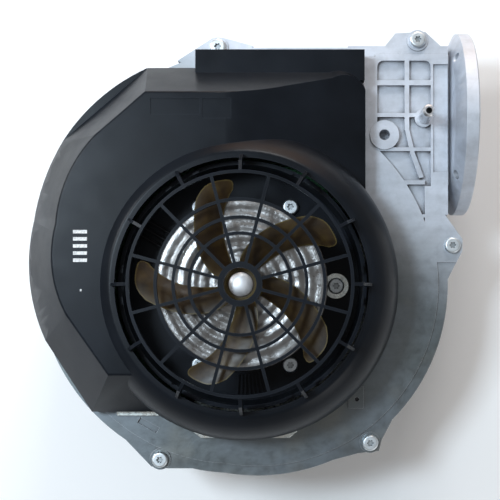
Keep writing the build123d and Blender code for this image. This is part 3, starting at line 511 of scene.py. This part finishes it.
def sheet_grid(bm, top, bottom):
    """Skin two matching grids of points and close their rim."""
    rows, columns = len(top), len(top[0])
    skins = [[[bm.verts.new(point) for point in row] for row in grid] for grid in (top, bottom)]
    for skin in skins:
        for i in range(rows - 1):
            for j in range(columns - 1):
                bm.faces.new((skin[i][j], skin[i][j + 1], skin[i + 1][j + 1], skin[i + 1][j]))
    rim = ([(0, j) for j in range(columns)] + [(i, columns - 1) for i in range(1, rows)]
           + [(rows - 1, j) for j in range(columns - 2, -1, -1)] + [(i, 0) for i in range(rows - 2, 0, -1)])
    for (i, j), (k, m) in zip(rim, rim[1:] + rim[:1]):
        bm.faces.new((skins[0][i][j], skins[0][k][m], skins[1][k][m], skins[1][i][j]))


def lathe(bm, outline, segments=144, closed=True):
    """Revolve a (radius, height) outline in millimetres about the motor axis."""
    rings = [[bm.verts.new(polar(r, 360 * k / segments, z)) for k in range(segments)] for r, z in outline]
    last = rings[:1] if closed else []
    for low, high in zip(rings, rings[1:] + last):
        for k in range(segments):
            n = (k + 1) % segments
            bm.faces.new((low[k], low[n], high[n], high[k]))


SHAFT_BORE_R = 4.05     # bore of what is pressed on the shaft
FAN_BLADES = 5
FAN_FIRST_BLADE = 30    # degrees
FAN_LEAD = [(8.0, 68.0), (27.0, 36.0), (48.0, 11.0)]    # (radius, degrees) along the leading edge
FAN_TRAIL = [(8.0, 12.0), (27.0, 6.0), (48.0, -12.0)]   # and along the trailing edge
FAN_ROWS = 16
FAN_COLUMNS = 12
FAN_ROOT_R = 9.4
FAN_TIP_R = 47.9
FAN_TIP_ROUND = 4.5     # how far the tip's corners lie inside its middle
FAN_MID = 118.8         # height halfway between a blade's two edges
FAN_REACH = 3.3         # most that an edge rises above or falls below it
FAN_CAMBER = 0.7        # how far the blade's middle bulges above it
FAN_ROOT_PITCH = 30     # degrees, less FAN_WASHOUT for each millimetre of radius
FAN_WASHOUT = 0.35
FAN_EDGE_HALF = 0.28    # half the thickness at the edges
FAN_BELLY_HALF = 0.42   # and what the middle adds to it at the root
FAN_THINNING = 0.4      # part of that lost by the tip
FAN_TOP = 123.0
FAN_BOTTOM = 115.7
FAN_HUB = [(SHAFT_BORE_R, 115.55), (9.6, 115.55), (10.0, 116.0), (10.0, 118.9), (9.4, 119.5),
           (6.8, 119.5), (6.5, 119.1), (SHAFT_BORE_R, 119.1)]


def fan_blade(bm, turn):
    """Twisted, cambered blade, thick along its middle and thin at its edges."""
    top, bottom = [], []
    for i in range(FAN_ROWS + 1):
        row_top, row_bottom = [], []
        for j in range(FAN_COLUMNS + 1):
            t = j / FAN_COLUMNS
            across = 2 * t - 1
            tip = FAN_TIP_R - FAN_TIP_ROUND * across ** 4
            radius = FAN_ROOT_R + (tip - FAN_ROOT_R) * i / FAN_ROWS
            lead, trail = quadratic(FAN_LEAD, radius), quadratic(FAN_TRAIL, radius)
            chord = math.radians(lead - trail) * radius
            pitch = math.radians(FAN_ROOT_PITCH - FAN_WASHOUT * radius)
            rise = min(FAN_REACH, 0.5 * chord * math.tan(pitch))
            height = FAN_MID + rise * across + FAN_CAMBER * (1 - across ** 2)
            half = FAN_EDGE_HALF + FAN_BELLY_HALF * (1 - across ** 2) * (1 - FAN_THINNING * i / FAN_ROWS)
            angle = turn + trail + (lead - trail) * t
            row_top.append(polar(radius, angle, min(height + half, FAN_TOP)))
            row_bottom.append(polar(radius, angle, max(height - half, FAN_BOTTOM)))
        top.append(row_top)
        bottom.append(row_bottom)
    sheet_grid(bm, top, bottom)


def cooling_fan():
    """Hub and blades of the fan that cools the motor."""
    bm = bmesh.new()
    for index in range(FAN_BLADES):
        fan_blade(bm, FAN_FIRST_BLADE + index * 360 / FAN_BLADES)
    lathe(bm, FAN_HUB, 72)
    place(new_piece("cooling_fan_look", bm, 40), "cooling_fan")


CUP_TOP = 115.5
CUP_FLOOR = 113.1       # underside of the end at the shaft
CUP_WALL = [(9.0, CUP_FLOOR), (9.0, 114.0), (28.0, 113.2), (36.0, 113.2), (37.6, 111.9), (37.6, 79.0),
            (39.6, 79.0), (39.6, 113.5), (39.4, 114.4), (38.8, 115.1), (37.8, CUP_TOP)]
CUP_BOSS = [(SHAFT_BORE_R, 111.05), (5.8, 111.05), (5.8, CUP_FLOOR), (SHAFT_BORE_R, CUP_FLOOR)]
RIPPLE_START = 12.0
RIPPLE_STEP = 0.31      # between points of the outline
RIPPLE_STEPS = 80
RIPPLE_PITCH = 4.9
RIPPLE_DEPTH = 0.44


def rotor_cup():
    """Deep-drawn steel cup whose end is stiffened by pressed ripples."""
    ripples = []
    for index in range(RIPPLE_STEPS):
        out = RIPPLE_STEP * index
        dip = 0.5 * RIPPLE_DEPTH * (1 - math.cos(2 * math.pi * out / RIPPLE_PITCH))
        ripples.append((RIPPLE_START + out, CUP_TOP - dip))
    middle = [(11.0, CUP_TOP), (SHAFT_BORE_R, CUP_TOP)]
    outline = [(SHAFT_BORE_R, CUP_FLOOR)] + CUP_WALL + ripples[::-1] + middle
    bm = bmesh.new()
    lathe(bm, outline)
    lathe(bm, CUP_BOSS, 72)
    place(new_piece("rotor_cup_look", bm, 40), "rotor_cup")


CAP_R = 5.5
CAP_BASE = 119.5
CAP_RISE = 1.68
CAP_FLATTENING = 1.4    # over 1 flattens the flank and leaves the middle domed
CAP_CENTRE_R = 0.02     # the outline stops this short of the axis
CAP_STEP = 6            # degrees between points of the dome


def shaft_cap():
    """Slightly domed button pressed over the end of the shaft."""
    dome = []
    for degrees in range(0, 91, CAP_STEP):
        tilt = math.radians(degrees)
        height = CAP_BASE + CAP_RISE * math.cos(tilt) ** CAP_FLATTENING
        dome.append((max(CAP_R * math.sin(tilt), CAP_CENTRE_R), height))
    bm = bmesh.new()
    lathe(bm, dome + [(CAP_CENTRE_R, CAP_BASE)], 96, closed=False)
    cap = new_piece("shaft_cap_look", bm, 50)
    place(cap, "shaft_cap")
    cap.data.materials[0] = CAP_METAL


COVER_FACE = 108.0      # height of the cover's flat face
INK_THICKNESS = 0.04
# Printed bars as (x, y, length, width): five equal ones in a row, and a dot further down.
PRINT_BARS = [(-75.05, 11.4 + 3.3 * index, 6.5, 1.6) for index in range(5)]
PRINT_BARS.append((-74.7, -2.5, 0.8, 1.0))


def printed_marks():
    """Plain white bars printed on the cover, which spell nothing."""
    bm = bmesh.new()
    for x, y, length, width in PRINT_BARS:
        corners = [(x + i * length / 2, y + j * width / 2) for i, j in SQUARE]
        low = [bm.verts.new(Vector((*corner, COVER_FACE)) * MM) for corner in corners]
        high = [bm.verts.new(Vector((*corner, COVER_FACE + INK_THICKNESS)) * MM) for corner in corners]
        bm.faces.new(high)
        bm.faces.new(low[::-1])
        for i in range(4):
            n = (i + 1) % 4
            bm.faces.new((low[i], low[n], high[n], high[i]))
    obj = new_piece("cover_print", bm)
    obj.data.materials.append(PRINT_INK)
    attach(obj, BODY_OF["motor_cover"])


SHAPED = {"cooling_fan": cooling_fan, "rotor_cup": rotor_cup, "shaft_cap": shaft_cap}

for name in nodes:
    if name in SHAPED:
        SHAPED[name]()
    elif name in SOFT_EDGES:
        softened(name, SOFT_EDGES[name])
    else:
        paint(nodes[name], SLOT_OF[name])
printed_marks()


# ---- floor, lights and camera --------------------------------------------------------------
FLOOR_HALF = 3.0
FLOOR_DROP = 0.02 * MM  # keeps the floor just clear of the intake face
LIGHT_TARGET = (0.0, 0.0, 80 * MM)
CAMERA_PLACE = (21.8 * MM, -8.9 * MM, 590 * MM)     # 520 mm above the casing's plate
CAMERA_LENS = 74.9
CAMERA_SHIFT = (-0.078, 0.108)


def studio():
    """Plain pale floor in an evenly lit white room."""
    mesh = bpy.data.meshes.new("floor")
    corners = [(x * FLOOR_HALF, y * FLOOR_HALF, 0) for x, y in SQUARE]
    mesh.from_pydata(corners, [], [(0, 1, 2, 3)])
    floor = bpy.data.objects.new("floor", mesh)
    floor.location.z = -FLOOR_DROP
    scene.collection.objects.link(floor)
    pale = bpy.data.materials.new("pale_floor")
    pale.use_nodes = True
    bsdf = pale.node_tree.nodes["Principled BSDF"]
    bsdf.inputs["Base Color"].default_value = (0.95, 0.95, 0.95, 1)
    bsdf.inputs["Roughness"].default_value = 0.9
    mesh.materials.append(pale)
    world = bpy.data.worlds.new("studio")
    world.use_nodes = True
    world.node_tree.nodes["Background"].inputs["Color"].default_value = (1, 1, 1, 1)
    world.node_tree.nodes["Background"].inputs["Strength"].default_value = 0.32
    scene.world = world
    scene.view_settings.view_transform = "Standard"


def area_light(name, location, size, power, colour=(1, 1, 1)):
    """Soft rectangular lamp aimed at the blower."""
    data = bpy.data.lights.new(name, "AREA")
    data.shape = "RECTANGLE"
    data.size, data.size_y = size
    data.energy = power
    data.color = colour
    lamp = bpy.data.objects.new(name, data)
    lamp.location = location
    aim = Vector(LIGHT_TARGET) - Vector(location)
    lamp.rotation_euler = aim.to_track_quat("-Z", "Y").to_euler()
    scene.collection.objects.link(lamp)


def lights():
    """Softboxes at the left, back and front, a cool one overhead and a low warm one behind."""
    area_light("left_softbox", (-0.78, 0.40, 0.68), (0.34, 0.34), 4.2, (0.92, 0.96, 1.0))
    area_light("back_softbox", (0.15, 1.05, 0.62), (0.40, 0.34), 5.8)
    area_light("front_fill", (0.80, -0.95, 0.50), (0.5, 0.4), 1.8)
    area_light("sheen", (-0.38, 0.16, 0.92), (0.20, 0.20), 5.4, (0.74, 0.88, 1.0))
    area_light("warm_edge", (0.15, 0.9, 0.20), (0.7, 0.25), 1.5, (1.0, 0.55, 0.28))


def camera():
    """Camera that looks straight down on the motor side, a little off the motor axis."""
    data = bpy.data.cameras.new("camera")
    data.sensor_width = 36.0
    data.lens = CAMERA_LENS
    data.shift_x, data.shift_y = CAMERA_SHIFT
    data.clip_start = 0.01
    view = bpy.data.objects.new("camera", data)
    view.location = CAMERA_PLACE
    scene.collection.objects.link(view)
    scene.camera = view


studio()
lights()
camera()
